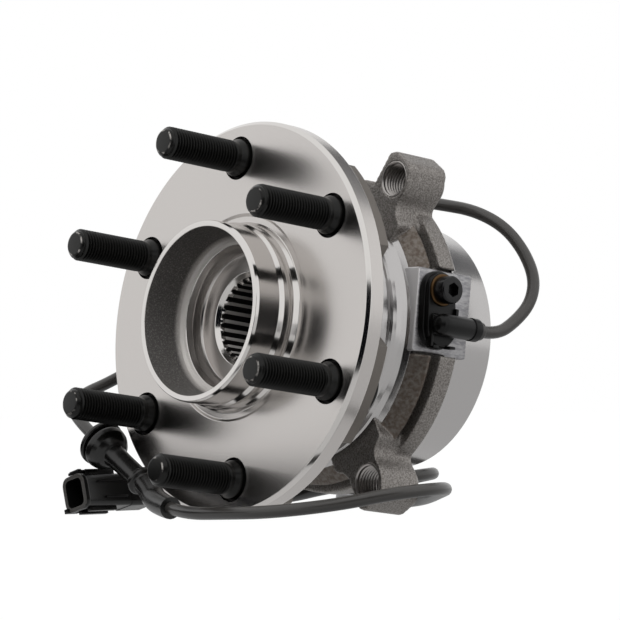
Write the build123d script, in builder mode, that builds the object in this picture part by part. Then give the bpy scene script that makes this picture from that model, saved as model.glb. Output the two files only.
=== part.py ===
from build123d import *
import math
import os

os.makedirs("parts", exist_ok=True)

# Driving dimensions, in millimetres.
# The spin axis is Y. The wheel face of the flange lies in the plane Y = 0, the studs
# point to -Y, +Z is up and the speed sensor sits on the +X side.

# Wheel flange and studs
flange_margin = 15.15
flange_t = 9.0
rim_chamfer = 1.5
stud_count = 6
stud_pcd_r = 69.85
stud_phase = -6.5
stud_r = 7.0
stud_reach = 41.5
stud_collar_r = 8.2
stud_head_r = 11.0
stud_head_t = 4.5
lug_pad_r = 24.0
lug_pad_t = 6.0

# Wheel and rotor pilots with the open cup inside them
nose_r = 39.0
nose_len = 20.75
rotor_pilot_r = 40.0
rotor_pilot_len = 6.5
face_relief_d = 0.8
face_relief_w = 2.6
cup_floor_r = 29.6
cup_floor_y = 5.6
cup_lip_r = 36.2

# Axle spline
spline_teeth = 33
spline_root_r = 18.6
spline_tip_r = 17.3
spline_lead_r = 20.2

# Two rows of balls
ball_r = 7.144
ball_count = 13
pitch_r = 37.0
row_a_y = 41.0
row_b_y = 77.0
race_r = 7.5
race_gap = 0.10
shoulder_r = 35.4
cage_wall = 4.6
cage_w = 12.6
cage_gap = 0.25
cage_rim_offset = 2.2

# Spindle, inner ring and tone ring
neck_r = 56.0
seal_land_r = 42.0
spindle_r = 31.0
inner_seat_r = 24.5
inner_ring_y = 65.0
inner_ring_len = 29.0
clinch_r = 29.0
clinch_t = 3.4
tone_r = 40.4
tone_tooth_h = 2.6
tone_teeth = 44
tone_w = 10.0

# Outer ring: a casting with machined bands, a mounting flange and a knuckle pilot
ring_start_y = 22.0
band_r = 56.5
band_w = 16.0
waist_w = 10.0
waist_rise = 3.8
bore_mid_r = 41.6
bore_open_r = 44.3
seal_bore_r = 48.0
seal_bore_d = 9.5
rear_seal_bore_r = 46.5
rear_seal_bore_d = 12.0
seal_w = 5.0
front_rib_r = 66.5
mount_r = 69.5
mount_t = 9.5
mount_y = 67.0
rib_gap = 2.6
rib_gap_d = 6.0
pilot_r = 54.0
pilot_end_y = 100.8

# Four threaded ears
ear_x = 43.0
ear_z = 65.0
ear_t = 22.0
ear_tip = 10.4
ear_inner_w = 9.6
ear_outer_w = 9.6
ear_flare = 6.0
ear_hole_r = 7.1

# Sensor pad, speed sensor and its bolt
pad_cut = 7.5
pad_front_y = 47.0
pad_back_y = 78.0
pad_low_z = -9.0
pad_high_z = 27.0
sensor_y = 58.5
sensor_z = 2.5
probe_r = 8.4
probe_gap = 0.2
probe_air = 0.9
plate_r = 9.6
plate_tip_r = 8.2
plate_t = 5.0
o_ring_r = 0.85
o_ring_depth = 6.0
bolt_y = 56.5
bolt_z = 17.9
bolt_r = 3.0
bolt_head_r = 5.6
bolt_head_h = 6.0
bolt_hex = 5.0
bolt_reach = 12.0
bush_r = 6.9
bush_len = 6.0
elbow_r = 4.7
elbow_cap = 0.3
elbow_cap_len = 4.2
elbow_rise = 9.0
elbow_back = 8.0
elbow_z = 3.0
elbow_end_y = 74.3
sleeve_r = 4.0
sleeve_len = 3.1

# Cable, grommet, boot and connector
cable_r = 2.7
grommet_r = 10.2
grommet_len = 38.0
grommet_tube_r = 4.8
grommet_collar_r = 6.4
boot_r = 4.6
plug_w = 14.4
plug_h = 15.4
plug_len = 40.0
plug_wall = 1.3
plug_depth = 13.0
plug_tail_r = 5.0
plug_tail_len = 10.0
plug_collar_r = 6.6
latch_w = 7.0
latch_t = 1.3
latch_gap = 0.9
latch_len = 19.0
rail_w = 2.2
rail_h = 1.2
pin_pitch = 5.0
pin_w = 2.0
pin_t = 1.2
pin_len = 7.0

# Clearances
press_gap = 0.02
seal_gap = 0.25
chamfer_s = 0.8

spin_axis = Axis.Y
flange_r = stud_pcd_r + flange_margin
stud_angles = [stud_phase + 360 / stud_count * i for i in range(stud_count)]
ring_plane = Plane.XZ


def on_circle(radius, angle):
    """X and Z of a point at an angle from +Z towards +X."""
    return radius * math.sin(math.radians(angle)), radius * math.cos(math.radians(angle))


# The driven half: one forging carries the wheel flange, the pilots and the spindle
land_end_y = ring_start_y + seal_bore_d - 1.0
race_centre_out = pitch_r - ball_r - race_gap + race_r
race_centre_in = pitch_r + ball_r + race_gap - race_r
inner_ring_end = inner_ring_y + inner_ring_len
spline_start_y = cup_floor_y + spline_lead_r - spline_tip_r
relief_r = rotor_pilot_r + 1.2

with BuildPart() as hub_flange:
    with BuildSketch(Plane.XY) as hub_profile:
        with BuildLine():
            Polyline(
                (0, -nose_len),
                (nose_r - 0.5, -nose_len),
                (nose_r, -nose_len + 1.4),
                (nose_r, -rotor_pilot_len - 2.0),
                (rotor_pilot_r, -rotor_pilot_len),
                (rotor_pilot_r, -1.6),
                (relief_r, face_relief_d),
                (relief_r + face_relief_w, face_relief_d),
                (relief_r + face_relief_w + 1.0, 0),
                (flange_r - rim_chamfer, 0),
                (flange_r, rim_chamfer),
                (flange_r, flange_t - chamfer_s),
                (flange_r - chamfer_s, flange_t),
                (neck_r, flange_t),
                (seal_land_r + 3.5, ring_start_y - 4.0),
                (seal_land_r, ring_start_y - 1.0),
                (seal_land_r, land_end_y - 0.5),
                (seal_land_r - 0.5, land_end_y),
                (shoulder_r, land_end_y + 1.0),
                (shoulder_r, row_a_y),
                (spindle_r, row_a_y),
                (spindle_r, inner_ring_y),
                (inner_seat_r, inner_ring_y),
                (inner_seat_r, inner_ring_end),
                (clinch_r, inner_ring_end),
                (clinch_r - 1.0, inner_ring_end + clinch_t),
                (0, inner_ring_end + clinch_t),
                close=True,
            )
        make_face()
    revolve(axis=spin_axis)
    # Forged cup in the nose, with its machined floor
    with BuildSketch(Plane.XY):
        with BuildLine():
            Polyline(
                (0, -nose_len),
                (cup_lip_r, -nose_len),
                (cup_lip_r - 1.8, -4.7),
                (cup_lip_r - 2.7, -2.9),
                (cup_floor_r + 1.6, -1.7),
                (cup_floor_r, 3.5),
                (cup_floor_r - 0.8, cup_floor_y),
                (spline_lead_r, cup_floor_y),
                (spline_tip_r, spline_start_y),
                (spline_tip_r, inner_ring_end + clinch_t),
                (0, inner_ring_end + clinch_t),
                close=True,
            )
        make_face()
    revolve(axis=spin_axis, mode=Mode.SUBTRACT)
    # Outboard raceway, ground into the spindle
    with BuildSketch(Plane.XY):
        with Locations((race_centre_out, row_a_y)):
            Circle(race_r)
    revolve(axis=spin_axis, mode=Mode.SUBTRACT)
    # Rear pads that back up each stud
    with BuildSketch(ring_plane.offset(-flange_t - lug_pad_t)):
        with Locations(*[on_circle(stud_pcd_r, a) for a in stud_angles]):
            Circle(lug_pad_r)
        Circle(flange_r - 2.0, mode=Mode.INTERSECT)
        Circle(neck_r - 4.0, mode=Mode.SUBTRACT)
    extrude(amount=lug_pad_t)
    # Stud holes with a relief ring at the wheel face
    with BuildSketch(ring_plane):
        with Locations(*[on_circle(stud_pcd_r, a) for a in stud_angles]):
            Circle(stud_collar_r + press_gap)
    extrude(amount=-flange_t - lug_pad_t, mode=Mode.SUBTRACT)
    with BuildSketch(ring_plane):
        with Locations(*[on_circle(stud_pcd_r, a) for a in stud_angles]):
            Circle(stud_collar_r + 1.1)
    extrude(amount=-2.0, mode=Mode.SUBTRACT)
    # Internal spline: pointed gaps cut outwards from the tip circle
    tooth_step = 360 / spline_teeth
    with BuildSketch(ring_plane.offset(-cup_floor_y)):
        with PolarLocations(0, spline_teeth):
            Polygon(
                on_circle(spline_tip_r - 0.6, -0.34 * tooth_step),
                on_circle(spline_root_r, -0.13 * tooth_step),
                on_circle(spline_root_r, 0.13 * tooth_step),
                on_circle(spline_tip_r - 0.6, 0.34 * tooth_step),
                align=None,
            )
    extrude(amount=cup_floor_y - inner_ring_end - clinch_t, mode=Mode.SUBTRACT)
hub_flange.part.label = "hub_flange"
export_step(hub_flange.part, "parts/hub_flange.step")


# Six pressed wheel studs: head behind the flange, knurled collar, plain threaded shank
for number, angle in enumerate(stud_angles, start=1):
    stud_x, stud_z = on_circle(stud_pcd_r, angle)
    stud_axis = Axis((stud_x, 0, stud_z), (0, 1, 0))
    head_y = flange_t + lug_pad_t
    with BuildPart() as stud:
        with BuildSketch(Plane((stud_x, 0, stud_z), x_dir=(1, 0, 0), z_dir=(0, 0, 1))):
            with BuildLine():
                Polyline(
                    (0, -stud_reach),
                    (stud_r - 1.4, -stud_reach),
                    (stud_r, -stud_reach + 1.8),
                    (stud_r, -2.6),
                    (stud_collar_r, -0.8),
                    (stud_collar_r, head_y),
                    (stud_head_r, head_y),
                    (stud_head_r, head_y + stud_head_t - 1.0),
                    (stud_head_r - 1.5, head_y + stud_head_t),
                    (0, head_y + stud_head_t),
                    close=True,
                )
            make_face()
        revolve(axis=stud_axis)
    stud.part.label = f"wheel_stud_{number}"
    export_step(stud.part, f"parts/wheel_stud_{number}.step")


# Inner ring of the inboard row, pressed on the spindle and held by its rolled end
with BuildPart() as inner_ring:
    with BuildSketch(Plane.XY):
        with BuildLine():
            Polyline(
                (inner_seat_r + press_gap, inner_ring_y),
                (spindle_r - 0.6, inner_ring_y),
                (spindle_r, inner_ring_y + 0.6),
                (spindle_r, row_b_y),
                (shoulder_r, row_b_y),
                (shoulder_r, inner_ring_end - 1.0),
                (shoulder_r - 1.0, inner_ring_end),
                (inner_seat_r + press_gap, inner_ring_end),
                close=True,
            )
        make_face()
    revolve(axis=spin_axis)
    with BuildSketch(Plane.XY):
        with Locations((race_centre_out, row_b_y)):
            Circle(race_r)
    revolve(axis=spin_axis, mode=Mode.SUBTRACT)
inner_ring.part.label = "inner_ring"
export_step(inner_ring.part, "parts/inner_ring.step")


# Tone ring: a toothed steel band pressed on the spindle under the sensor
with BuildPart() as tone_ring:
    with BuildSketch(ring_plane.offset(tone_w / 2 - sensor_y)):
        Circle(tone_r)
        Circle(spindle_r + press_gap, mode=Mode.SUBTRACT)
        with PolarLocations(tone_r - tone_tooth_h / 2, tone_teeth):
            Rectangle(tone_tooth_h + 0.4, math.pi * tone_r / tone_teeth, mode=Mode.SUBTRACT)
    extrude(amount=-tone_w)
tone_ring.part.label = "tone_ring"
export_step(tone_ring.part, "parts/tone_ring.step")


# Two rows of balls, each with its snap-in cage: the rims face away from the middle
ball_places = [on_circle(pitch_r, 360 / ball_count * i) for i in range(ball_count)]
cage_in_r = shoulder_r + 0.8
for row_name, row_y, rim_side in (("outboard", row_a_y, -1), ("inboard", row_b_y, 1)):
    cage_back_y = row_y + rim_side * cage_rim_offset + cage_w / 2
    with BuildPart() as cage:
        with BuildSketch(ring_plane.offset(-cage_back_y)):
            Circle(cage_in_r + cage_wall)
            Circle(cage_in_r, mode=Mode.SUBTRACT)
        extrude(amount=cage_w)
        with Locations(*[Plane((x, row_y, z), z_dir=(x, 0, z)) for x, z in ball_places]):
            Cylinder(ball_r + cage_gap, 4 * cage_wall, mode=Mode.SUBTRACT)
    cage.part.label = f"cage_{row_name}"
    export_step(cage.part, f"parts/cage_{row_name}.step")
    with BuildPart() as balls:
        with Locations(*[(x, row_y, z) for x, z in ball_places]):
            Sphere(ball_r)
    balls.part.label = f"balls_{row_name}"
    export_step(balls.part, f"parts/balls_{row_name}.step")


# Outline of one ear about its threaded hole, with y running outwards
with BuildSketch() as ear_outline:
    with BuildLine():
        FilletPolyline(
            (-ear_inner_w - ear_flare, -24),
            (-ear_inner_w - ear_flare, -14.5),
            (-ear_inner_w, -10.0),
            (-ear_inner_w, ear_tip),
            (ear_outer_w - 4.5, ear_tip),
            (ear_outer_w, 1.0),
            (ear_outer_w - 1.4, -9.5),
            (ear_outer_w + ear_flare, -13.5),
            (ear_outer_w + ear_flare, -24),
            radius=[1.5, 5.0, 5.0, 4.0, 5.0, 4.0, 1.5],
        )
        Line((ear_outer_w + ear_flare, -24), (-ear_inner_w - ear_flare, -24))
    make_face()

# Outer ring casting
band_end_y = ring_start_y + band_w
waist_end_y = band_end_y + waist_w
rib_gap_y = mount_y - mount_t
pad_x = mount_r - pad_cut
with BuildPart() as outer_ring:
    with BuildSketch(Plane.XY):
        with BuildLine():
            Polyline(
                (seal_bore_r, ring_start_y),
                (band_r - chamfer_s, ring_start_y),
                (band_r, ring_start_y + chamfer_s),
                (band_r, band_end_y),
                (band_r - 1.2, band_end_y + 1.0),
            )
            ThreePointArc(
                (band_r - 1.2, band_end_y + 1.0),
                (band_r - 0.3, band_end_y + 6.0),
                (band_r + waist_rise, waist_end_y),
            )
            Polyline(
                (band_r + waist_rise, waist_end_y),
                (front_rib_r, rib_gap_y - rib_gap - 0.6),
                (front_rib_r, rib_gap_y - rib_gap),
                (front_rib_r - rib_gap_d + 2.0, rib_gap_y - rib_gap),
                (front_rib_r - rib_gap_d + 2.0, rib_gap_y),
                (mount_r - 0.6, rib_gap_y),
                (mount_r, rib_gap_y + 0.6),
                (mount_r, mount_y - chamfer_s),
                (mount_r - chamfer_s, mount_y),
                (pilot_r - 1.2, mount_y),
                (pilot_r - 1.2, mount_y + 1.4),
                (pilot_r, mount_y + 2.1),
                (pilot_r, pilot_end_y - 1.4),
                (pilot_r - 1.4, pilot_end_y),
                (rear_seal_bore_r, pilot_end_y),
                (rear_seal_bore_r, pilot_end_y - rear_seal_bore_d),
                (bore_open_r, pilot_end_y - rear_seal_bore_d),
                (bore_open_r, row_b_y),
                (bore_mid_r, row_b_y),
                (bore_mid_r, row_a_y),
                (bore_open_r, row_a_y),
                (bore_open_r, ring_start_y + seal_bore_d),
                (seal_bore_r, ring_start_y + seal_bore_d),
                (seal_bore_r, ring_start_y),
            )
        make_face()
    revolve(axis=spin_axis)
    # Ears: each runs out from the ring at the angle of its hole
    ear_angle = math.degrees(math.atan2(ear_x, ear_z))
    with BuildSketch(ring_plane.offset(-mount_y)):
        with Locations(Location((ear_x, ear_z), -ear_angle)):
            add(ear_outline.sketch)
        mirror(about=Plane.YZ)
        mirror(about=Plane.XZ)
    extrude(amount=ear_t)
    # Boss that carries the sensor pad, milled flat across the ring
    pad_mid = ((pad_front_y + pad_back_y) / 2, (pad_low_z + pad_high_z) / 2)
    pad_size = (pad_back_y - pad_front_y, pad_high_z - pad_low_z)
    with BuildSketch(Plane.YZ.offset(pad_x)):
        with Locations(pad_mid):
            Rectangle(*pad_size)
    extrude(amount=-(pad_x - bore_mid_r - 4.0))
    with BuildSketch(Plane.YZ.offset(pad_x)):
        with Locations(pad_mid):
            Rectangle(pad_size[0], pad_size[1] + 2 * chamfer_s)
    extrude(amount=mount_r, mode=Mode.SUBTRACT)
    # Raceways
    with BuildSketch(Plane.XY):
        with Locations((race_centre_in, row_a_y), (race_centre_in, row_b_y)):
            Circle(race_r)
    revolve(axis=spin_axis, mode=Mode.SUBTRACT)
    # Ear holes with their countersunk mouths
    with BuildSketch(ring_plane.offset(-mount_y)):
        with GridLocations(2 * ear_x, 2 * ear_z, 2, 2):
            Circle(ear_hole_r)
    extrude(amount=ear_t, mode=Mode.SUBTRACT)
    # Sensor bore and the tapped hole for its bolt
    with BuildSketch(Plane.YZ.offset(pad_x)):
        with Locations((sensor_y, sensor_z)):
            Circle(probe_r + probe_gap)
    extrude(amount=-(pad_x - bore_mid_r + 2.0), mode=Mode.SUBTRACT)
    with BuildSketch(Plane.YZ.offset(pad_x)):
        with Locations((bolt_y, bolt_z)):
            Circle(bolt_r + press_gap)
    extrude(amount=-14.0, mode=Mode.SUBTRACT)
outer_ring.part.label = "outer_ring"
export_step(outer_ring.part, "parts/outer_ring.step")


# Seals: a cased ring in each end of the casting, its lip running on the ground land
seal_rows = (
    ("outboard_seal", seal_bore_r, seal_land_r, ring_start_y + seal_bore_d - seal_w, 1),
    ("inboard_seal", rear_seal_bore_r, shoulder_r, pilot_end_y - rear_seal_bore_d + seal_w, -1),
)
for seal_name, case_r, land_r, face_y, inward in seal_rows:
    lip_r = land_r + seal_gap
    with BuildPart() as seal:
        with BuildSketch(Plane.XY):
            with BuildLine():
                Polyline(
                    (case_r - press_gap, face_y),
                    (case_r - press_gap, face_y + inward * seal_w),
                    (case_r - 1.4, face_y + inward * seal_w),
                    (case_r - 1.8, face_y + inward * 1.8),
                    (lip_r + 2.4, face_y + inward * 1.9),
                    (lip_r, face_y + inward * (seal_w - 1.2)),
                    (lip_r, face_y + inward * (seal_w - 2.0)),
                    (lip_r + 0.9, face_y + inward * 1.2),
                    (lip_r, face_y + inward * 0.6),
                    (lip_r, face_y),
                    close=True,
                )
            make_face()
        revolve(axis=spin_axis)
    seal.part.label = seal_name
    export_step(seal.part, f"parts/{seal_name}.step")


# Speed sensor: plate, probe down to the tone ring, and the elbow where the cable leaves
probe_tip_x = tone_r + probe_air
groove_r = probe_r + probe_gap - 2 * o_ring_r - 2 * press_gap
probe_axis = Axis((0, sensor_y, sensor_z), (1, 0, 0))
probe_plane = Plane((0, sensor_y, sensor_z), x_dir=(1, 0, 0), z_dir=(0, 0, 1))
pad_plane = Plane.YZ.offset(pad_x)
elbow_x = pad_x + elbow_rise
elbow_start_y = sensor_y - elbow_back
elbow_cap_y = elbow_end_y - elbow_cap_len
with BuildPart() as sensor_body:
    with BuildSketch(pad_plane):
        with Locations((sensor_y, sensor_z)):
            Circle(plate_r)
        with Locations((bolt_y, bolt_z)):
            Circle(plate_tip_r)
        make_hull()
    extrude(amount=plate_t)
    fillet(sensor_body.edges().group_by(Axis.X)[-1], 0.8)
    with BuildSketch(pad_plane):
        with Locations((sensor_y, sensor_z)):
            Circle(probe_r)
    extrude(amount=probe_tip_x - pad_x)
    chamfer(sensor_body.edges().group_by(Axis.X)[0], 0.8)
    with BuildSketch(probe_plane):
        with Locations((pad_x - o_ring_depth, groove_r + 2.0)):
            Rectangle(2.4 * o_ring_r, 4.0)
    revolve(axis=probe_axis, mode=Mode.SUBTRACT)
    # Tower over the probe and the elbow out of it, with its cap
    with BuildSketch(pad_plane.offset(plate_t)):
        with Locations((sensor_y, elbow_z)):
            RectangleRounded(2 * elbow_back - 1.0, 2 * elbow_r - 0.6, 2.0)
    extrude(amount=elbow_rise - plate_t)
    with BuildSketch(Plane((elbow_x, 0, elbow_z), x_dir=(1, 0, 0), z_dir=(0, 0, 1))):
        with BuildLine():
            Polyline(
                (0, elbow_start_y),
                (elbow_r - 1.4, elbow_start_y),
                (elbow_r, elbow_start_y + 1.4),
                (elbow_r, elbow_cap_y),
                (elbow_r + elbow_cap, elbow_cap_y),
                (elbow_r + elbow_cap, elbow_end_y),
                (0, elbow_end_y),
                close=True,
            )
        make_face()
    revolve(axis=Axis((elbow_x, 0, elbow_z), (0, 1, 0)))
    with BuildSketch(pad_plane):
        with Locations((bolt_y, bolt_z)):
            Circle(bush_r + press_gap)
    extrude(amount=2 * plate_t, mode=Mode.SUBTRACT)
sensor_body.part.label = "sensor_body"
export_step(sensor_body.part, "parts/sensor_body.step")

with BuildPart() as sensor_o_ring:
    with BuildSketch(probe_plane):
        with Locations((pad_x - o_ring_depth, groove_r + press_gap + o_ring_r)):
            Circle(o_ring_r)
    revolve(axis=probe_axis)
sensor_o_ring.part.label = "sensor_o_ring"
export_step(sensor_o_ring.part, "parts/sensor_o_ring.step")

with BuildPart() as sensor_bushing:
    with BuildSketch(pad_plane):
        with Locations((bolt_y, bolt_z)):
            Circle(bush_r)
            Circle(bolt_r + 0.3, mode=Mode.SUBTRACT)
    extrude(amount=bush_len)
    chamfer(sensor_bushing.edges().group_by(Axis.X)[-1], 0.4)
sensor_bushing.part.label = "sensor_bushing"
export_step(sensor_bushing.part, "parts/sensor_bushing.step")

with BuildPart() as sensor_bolt:
    with BuildSketch(pad_plane.offset(bush_len)):
        with Locations((bolt_y, bolt_z)):
            Circle(bolt_head_r)
    extrude(amount=bolt_head_h)
    fillet(sensor_bolt.edges().group_by(Axis.X)[-1], 0.6)
    with BuildSketch(pad_plane.offset(bush_len + bolt_head_h)):
        with Locations((bolt_y, bolt_z)):
            RegularPolygon(bolt_hex / 2, 6, major_radius=False)
    extrude(amount=-bolt_head_h / 2, mode=Mode.SUBTRACT)
    with BuildSketch(pad_plane.offset(bush_len)):
        with Locations((bolt_y, bolt_z)):
            Circle(bolt_r)
    extrude(amount=-bush_len - bolt_reach)
    chamfer(sensor_bolt.edges().group_by(Axis.X)[0], 0.6)
sensor_bolt.part.label = "sensor_bolt"
export_step(sensor_bolt.part, "parts/sensor_bolt.step")

with BuildPart() as cable_sleeve:
    with BuildSketch(ring_plane.offset(-elbow_end_y)):
        with Locations((elbow_x, elbow_z)):
            Circle(sleeve_r)
    extrude(amount=-sleeve_len)
    fillet(cable_sleeve.edges().group_by(Axis.Y)[-1], 0.7)
cable_sleeve.part.label = "cable_sleeve"
export_step(cable_sleeve.part, "parts/cable_sleeve.step")


# Panel grommet on the cable: two thin flanges with a groove, a cone and a long tube
grommet_start = Vector(-74.5, -10, -54.8)
grommet_axis = Vector(0.878, 0.04, -0.478).normalized()
grommet_side = grommet_axis.cross(Vector(0, 0, 1))
grommet_end = grommet_start + grommet_axis * grommet_len
with BuildPart() as cable_grommet:
    with BuildSketch(Plane(grommet_start, x_dir=grommet_axis, z_dir=grommet_side)):
        with BuildLine():
            Polyline(
                (0, 0),
                (0, grommet_r - 2.5),
                (0.8, grommet_r - 0.6),
                (1.4, grommet_r),
                (3.2, grommet_r),
                (3.2, grommet_r - 2.8),
                (5.2, grommet_r - 2.8),
                (5.2, grommet_r - 0.2),
                (6.2, grommet_r - 0.2),
                (13.5, grommet_tube_r + 0.8),
                (15.5, grommet_tube_r),
                (grommet_len - 4.5, grommet_tube_r),
                (grommet_len - 4.0, grommet_collar_r),
                (grommet_len - 1.5, grommet_collar_r),
                (grommet_len - 1.0, grommet_tube_r),
                (grommet_len, grommet_tube_r),
                (grommet_len, 0),
                close=True,
            )
        make_face()
    revolve(axis=Axis(grommet_start, grommet_axis))
cable_grommet.part.label = "cable_grommet"
export_step(cable_grommet.part, "parts/cable_grommet.step")


# Cords: each route is a list of points with its corners rounded off
def corner_radii(points):
    """A bend radius for every inner point, taken from the shorter run beside it."""
    corners = []
    for before, here, after in zip(points, points[1:], points[2:]):
        into, away = Vector(*here) - Vector(*before), Vector(*after) - Vector(*here)
        half_turn = math.radians(into.get_angle(away)) / 2
        corners.append(0.45 * min(into.length, away.length) / math.tan(half_turn))
    return corners


boot_bend = grommet_end + grommet_axis * 5.0
boot_low = Vector(-30.5, -9.5, -81)
boot_end = Vector(-14, -14, -83.4)
boot_run = (boot_end - boot_low).normalized()
plug_mouth = Vector(-79.5, -17, -78.7)
plug_axis = Vector(0.03, -0.99, -0.125).normalized()
plug_end = plug_mouth - plug_axis * (plug_len + plug_tail_len)
sensor_route = [
    (elbow_x, elbow_end_y + sleeve_len, elbow_z),
    (elbow_x, 86.5, elbow_z),
    (72, 95.5, 9.5),
    (73.5, 102.5, 18.5),
    (72.5, 105, 29.5),
    (67, 102.5, 41.5),
    (58.5, 97.5, 52),
    (46, 91, 58.5),
    (30.5, 85.5, 61),
    (13, 81, 63.3),
    (-8, 78, 63),
    (-34, 75, 58),
    (-57, 69, 44),
    (-76, 60, 24),
    (-90, 47, 3),
    (-98.5, 32, -13),
    (-104, 15, -25.5),
    (-104.5, 0, -33),
    (-99.5, -8.5, -40.5),
    tuple(grommet_start - grommet_axis * 11.6),
    tuple(grommet_start),
]
boot_route = [tuple(p) for p in (grommet_end, boot_bend, boot_low, boot_end)]
lead_route = [
    tuple(boot_end),
    tuple(boot_end + boot_run * 17.0),
    (30, -20, -85),
    (52, -18.5, -84),
    (71, -12, -81.3),
    (86, -2, -77.5),
    (97, 8.5, -73),
    (103.5, 21.5, -69.7),
    (101, 35, -67.7),
    (91, 46.5, -67),
    (77, 56, -67.5),
    (62, 66, -68.3),
    (46, 75, -69.3),
    (28, 81, -70.3),
    (7, 83, -70.7),
    (-14, 84.5, -70.4),
    (-29.5, 93, -67.6),
    (-31.5, 110.5, -62.5),
    (-19, 123.5, -57),
    (-1, 123.5, -54),
    (12, 110.5, -55),
    (10.5, 93, -59),
    (-3, 81, -62.8),
    (-20, 76, -66),
    (-40, 75, -70),
    (-60, 72.5, -72.5),
    (-75, 62, -72.5),
    tuple(plug_end - plug_axis * 14.0),
    tuple(plug_end),
]
cords = (
    ("sensor_cable", sensor_route, cable_r),
    ("cable_boot", boot_route, boot_r),
    ("lead_cable", lead_route, cable_r),
)
for cord_name, route, cord_r in cords:
    radii = corner_radii(route)
    with BuildPart() as cord:
        with BuildLine() as cord_line:
            FilletPolyline(*route, radius=radii)
        with BuildSketch(cord_line.line ^ 0):
            Circle(cord_r)
        sweep()
    cord_length = cord_line.wires()[0].length
    section_volume = math.pi * cord_r**2 * cord_length
    print(cord_name, "radii", [round(r, 1) for r in radii])
    print(cord_name, "length", round(cord_length, 1))
    print(cord_name, "volume share", round(cord.part.volume / section_volume, 4))
    cord.part.label = cord_name
    export_step(cord.part, f"parts/{cord_name}.step")


# Two-way connector, lying a little rolled over
plug_plane = Plane(plug_mouth, x_dir=(0.965, 0, 0.263), z_dir=plug_axis)
with BuildPart() as connector_housing:
    with BuildSketch(plug_plane):
        RectangleRounded(plug_w, plug_h, 2.4)
    extrude(amount=-plug_len)
    with BuildSketch(plug_plane.offset(-plug_len)):
        Circle(plug_collar_r)
    extrude(amount=-2.0)
    with BuildSketch(plug_plane.offset(-plug_len - 2.0)):
        Circle(plug_collar_r)
    with BuildSketch(plug_plane.offset(-plug_len - 7.0)):
        Circle(plug_tail_r)
    loft()
    with BuildSketch(plug_plane.offset(-plug_len - 7.0)):
        Circle(plug_tail_r)
    extrude(amount=7.0 - plug_tail_len)
    # Latch tongue over the upper side, rails under the lower side
    with BuildSketch(plug_plane.offset(-1.0)):
        with Locations((0, (plug_h + latch_t) / 2 + latch_gap)):
            Rectangle(latch_w, latch_t)
    extrude(amount=-latch_len)
    with BuildSketch(plug_plane.offset(2.5 - latch_len)):
        with Locations((0, (plug_h + latch_gap) / 2)):
            Rectangle(latch_w, latch_gap + 0.4)
    extrude(amount=-3.5)
    with BuildSketch(plug_plane.offset(-4.0)):
        with Locations((-3.2, -(plug_h + rail_h) / 2), (3.2, -(plug_h + rail_h) / 2)):
            Rectangle(rail_w, rail_h + 0.4)
    extrude(amount=4.0 - latch_len)
    with BuildSketch(plug_plane):
        RectangleRounded(plug_w - 2 * plug_wall, plug_h - 2 * plug_wall, 1.5)
    extrude(amount=-plug_depth, mode=Mode.SUBTRACT)
connector_housing.part.label = "connector_housing"
export_step(connector_housing.part, "parts/connector_housing.step")

for number, pin_side in enumerate((-1, 1), start=1):
    with BuildPart() as pin:
        with BuildSketch(plug_plane.offset(-plug_depth)):
            with Locations((0, pin_side * pin_pitch / 2)):
                Rectangle(pin_w, pin_t)
        extrude(amount=pin_len)
        chamfer(pin.faces().sort_by(Axis(plug_mouth, plug_axis))[-1].edges(), 0.25)
    pin.part.label = f"connector_pin_{number}"
    export_step(pin.part, f"parts/connector_pin_{number}.step")
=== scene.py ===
import math

import bmesh
import bpy
from mathutils import Matrix, Vector


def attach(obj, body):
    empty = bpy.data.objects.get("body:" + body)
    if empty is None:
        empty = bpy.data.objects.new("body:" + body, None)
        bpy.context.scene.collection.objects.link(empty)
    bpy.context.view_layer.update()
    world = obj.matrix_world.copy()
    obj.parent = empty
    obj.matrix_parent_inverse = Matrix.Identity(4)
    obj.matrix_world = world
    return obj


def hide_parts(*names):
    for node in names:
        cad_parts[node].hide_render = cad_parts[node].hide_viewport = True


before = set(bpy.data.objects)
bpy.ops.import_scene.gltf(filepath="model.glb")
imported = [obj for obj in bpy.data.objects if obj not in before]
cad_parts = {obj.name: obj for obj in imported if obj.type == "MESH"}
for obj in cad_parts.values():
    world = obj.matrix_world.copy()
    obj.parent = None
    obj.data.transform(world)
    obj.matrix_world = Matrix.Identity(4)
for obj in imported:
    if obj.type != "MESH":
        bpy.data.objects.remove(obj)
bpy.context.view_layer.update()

# Camera, at the photograph's viewing angle. The hub leans back on its two lower ears, so
# in the hub's own frame the camera rolls a little and looks along a leaning floor.
mm = 0.001
image_px = 620
focal_px = 3194.1
camera_place = Vector((1054.9, -851.8, -138.6)) * mm
view_right = Vector((0.65084, 0.75391, 0.09000))
view_back = Vector((0.75890, -0.64250, -0.10610)).normalized()
view_up = view_back.cross(view_right).normalized()
view_right = view_up.cross(view_back)


def link_object(name, data):
    """Puts new mesh, curve, lamp or camera data into the scene under its name."""
    made = bpy.data.objects.new(name, data)
    bpy.context.scene.collection.objects.link(made)
    return made


camera_data = bpy.data.cameras.new("studio_camera")
camera_data.sensor_width = 36.0
camera_data.lens = focal_px / image_px * camera_data.sensor_width
camera = link_object("studio_camera", camera_data)
camera.matrix_world = Matrix.Translation(camera_place) @ Matrix(
    (view_right, view_up, view_back)).transposed().to_4x4()
bpy.context.scene.camera = camera
bpy.context.scene.view_settings.view_transform = "Standard"


# Soft studio light. Camera and gloss see a white room, and the rest of the light is a
# plain level from all round with two broad lamps.
def hex_colour(code):
    """A linear colour from an sRGB hex code."""
    parts = [int(code[i:i + 2], 16) / 255 for i in (1, 3, 5)]
    return [p / 12.92 if p <= 0.04045 else ((p + 0.055) / 1.055) ** 2.4 for p in parts] + [1.0]


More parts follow.
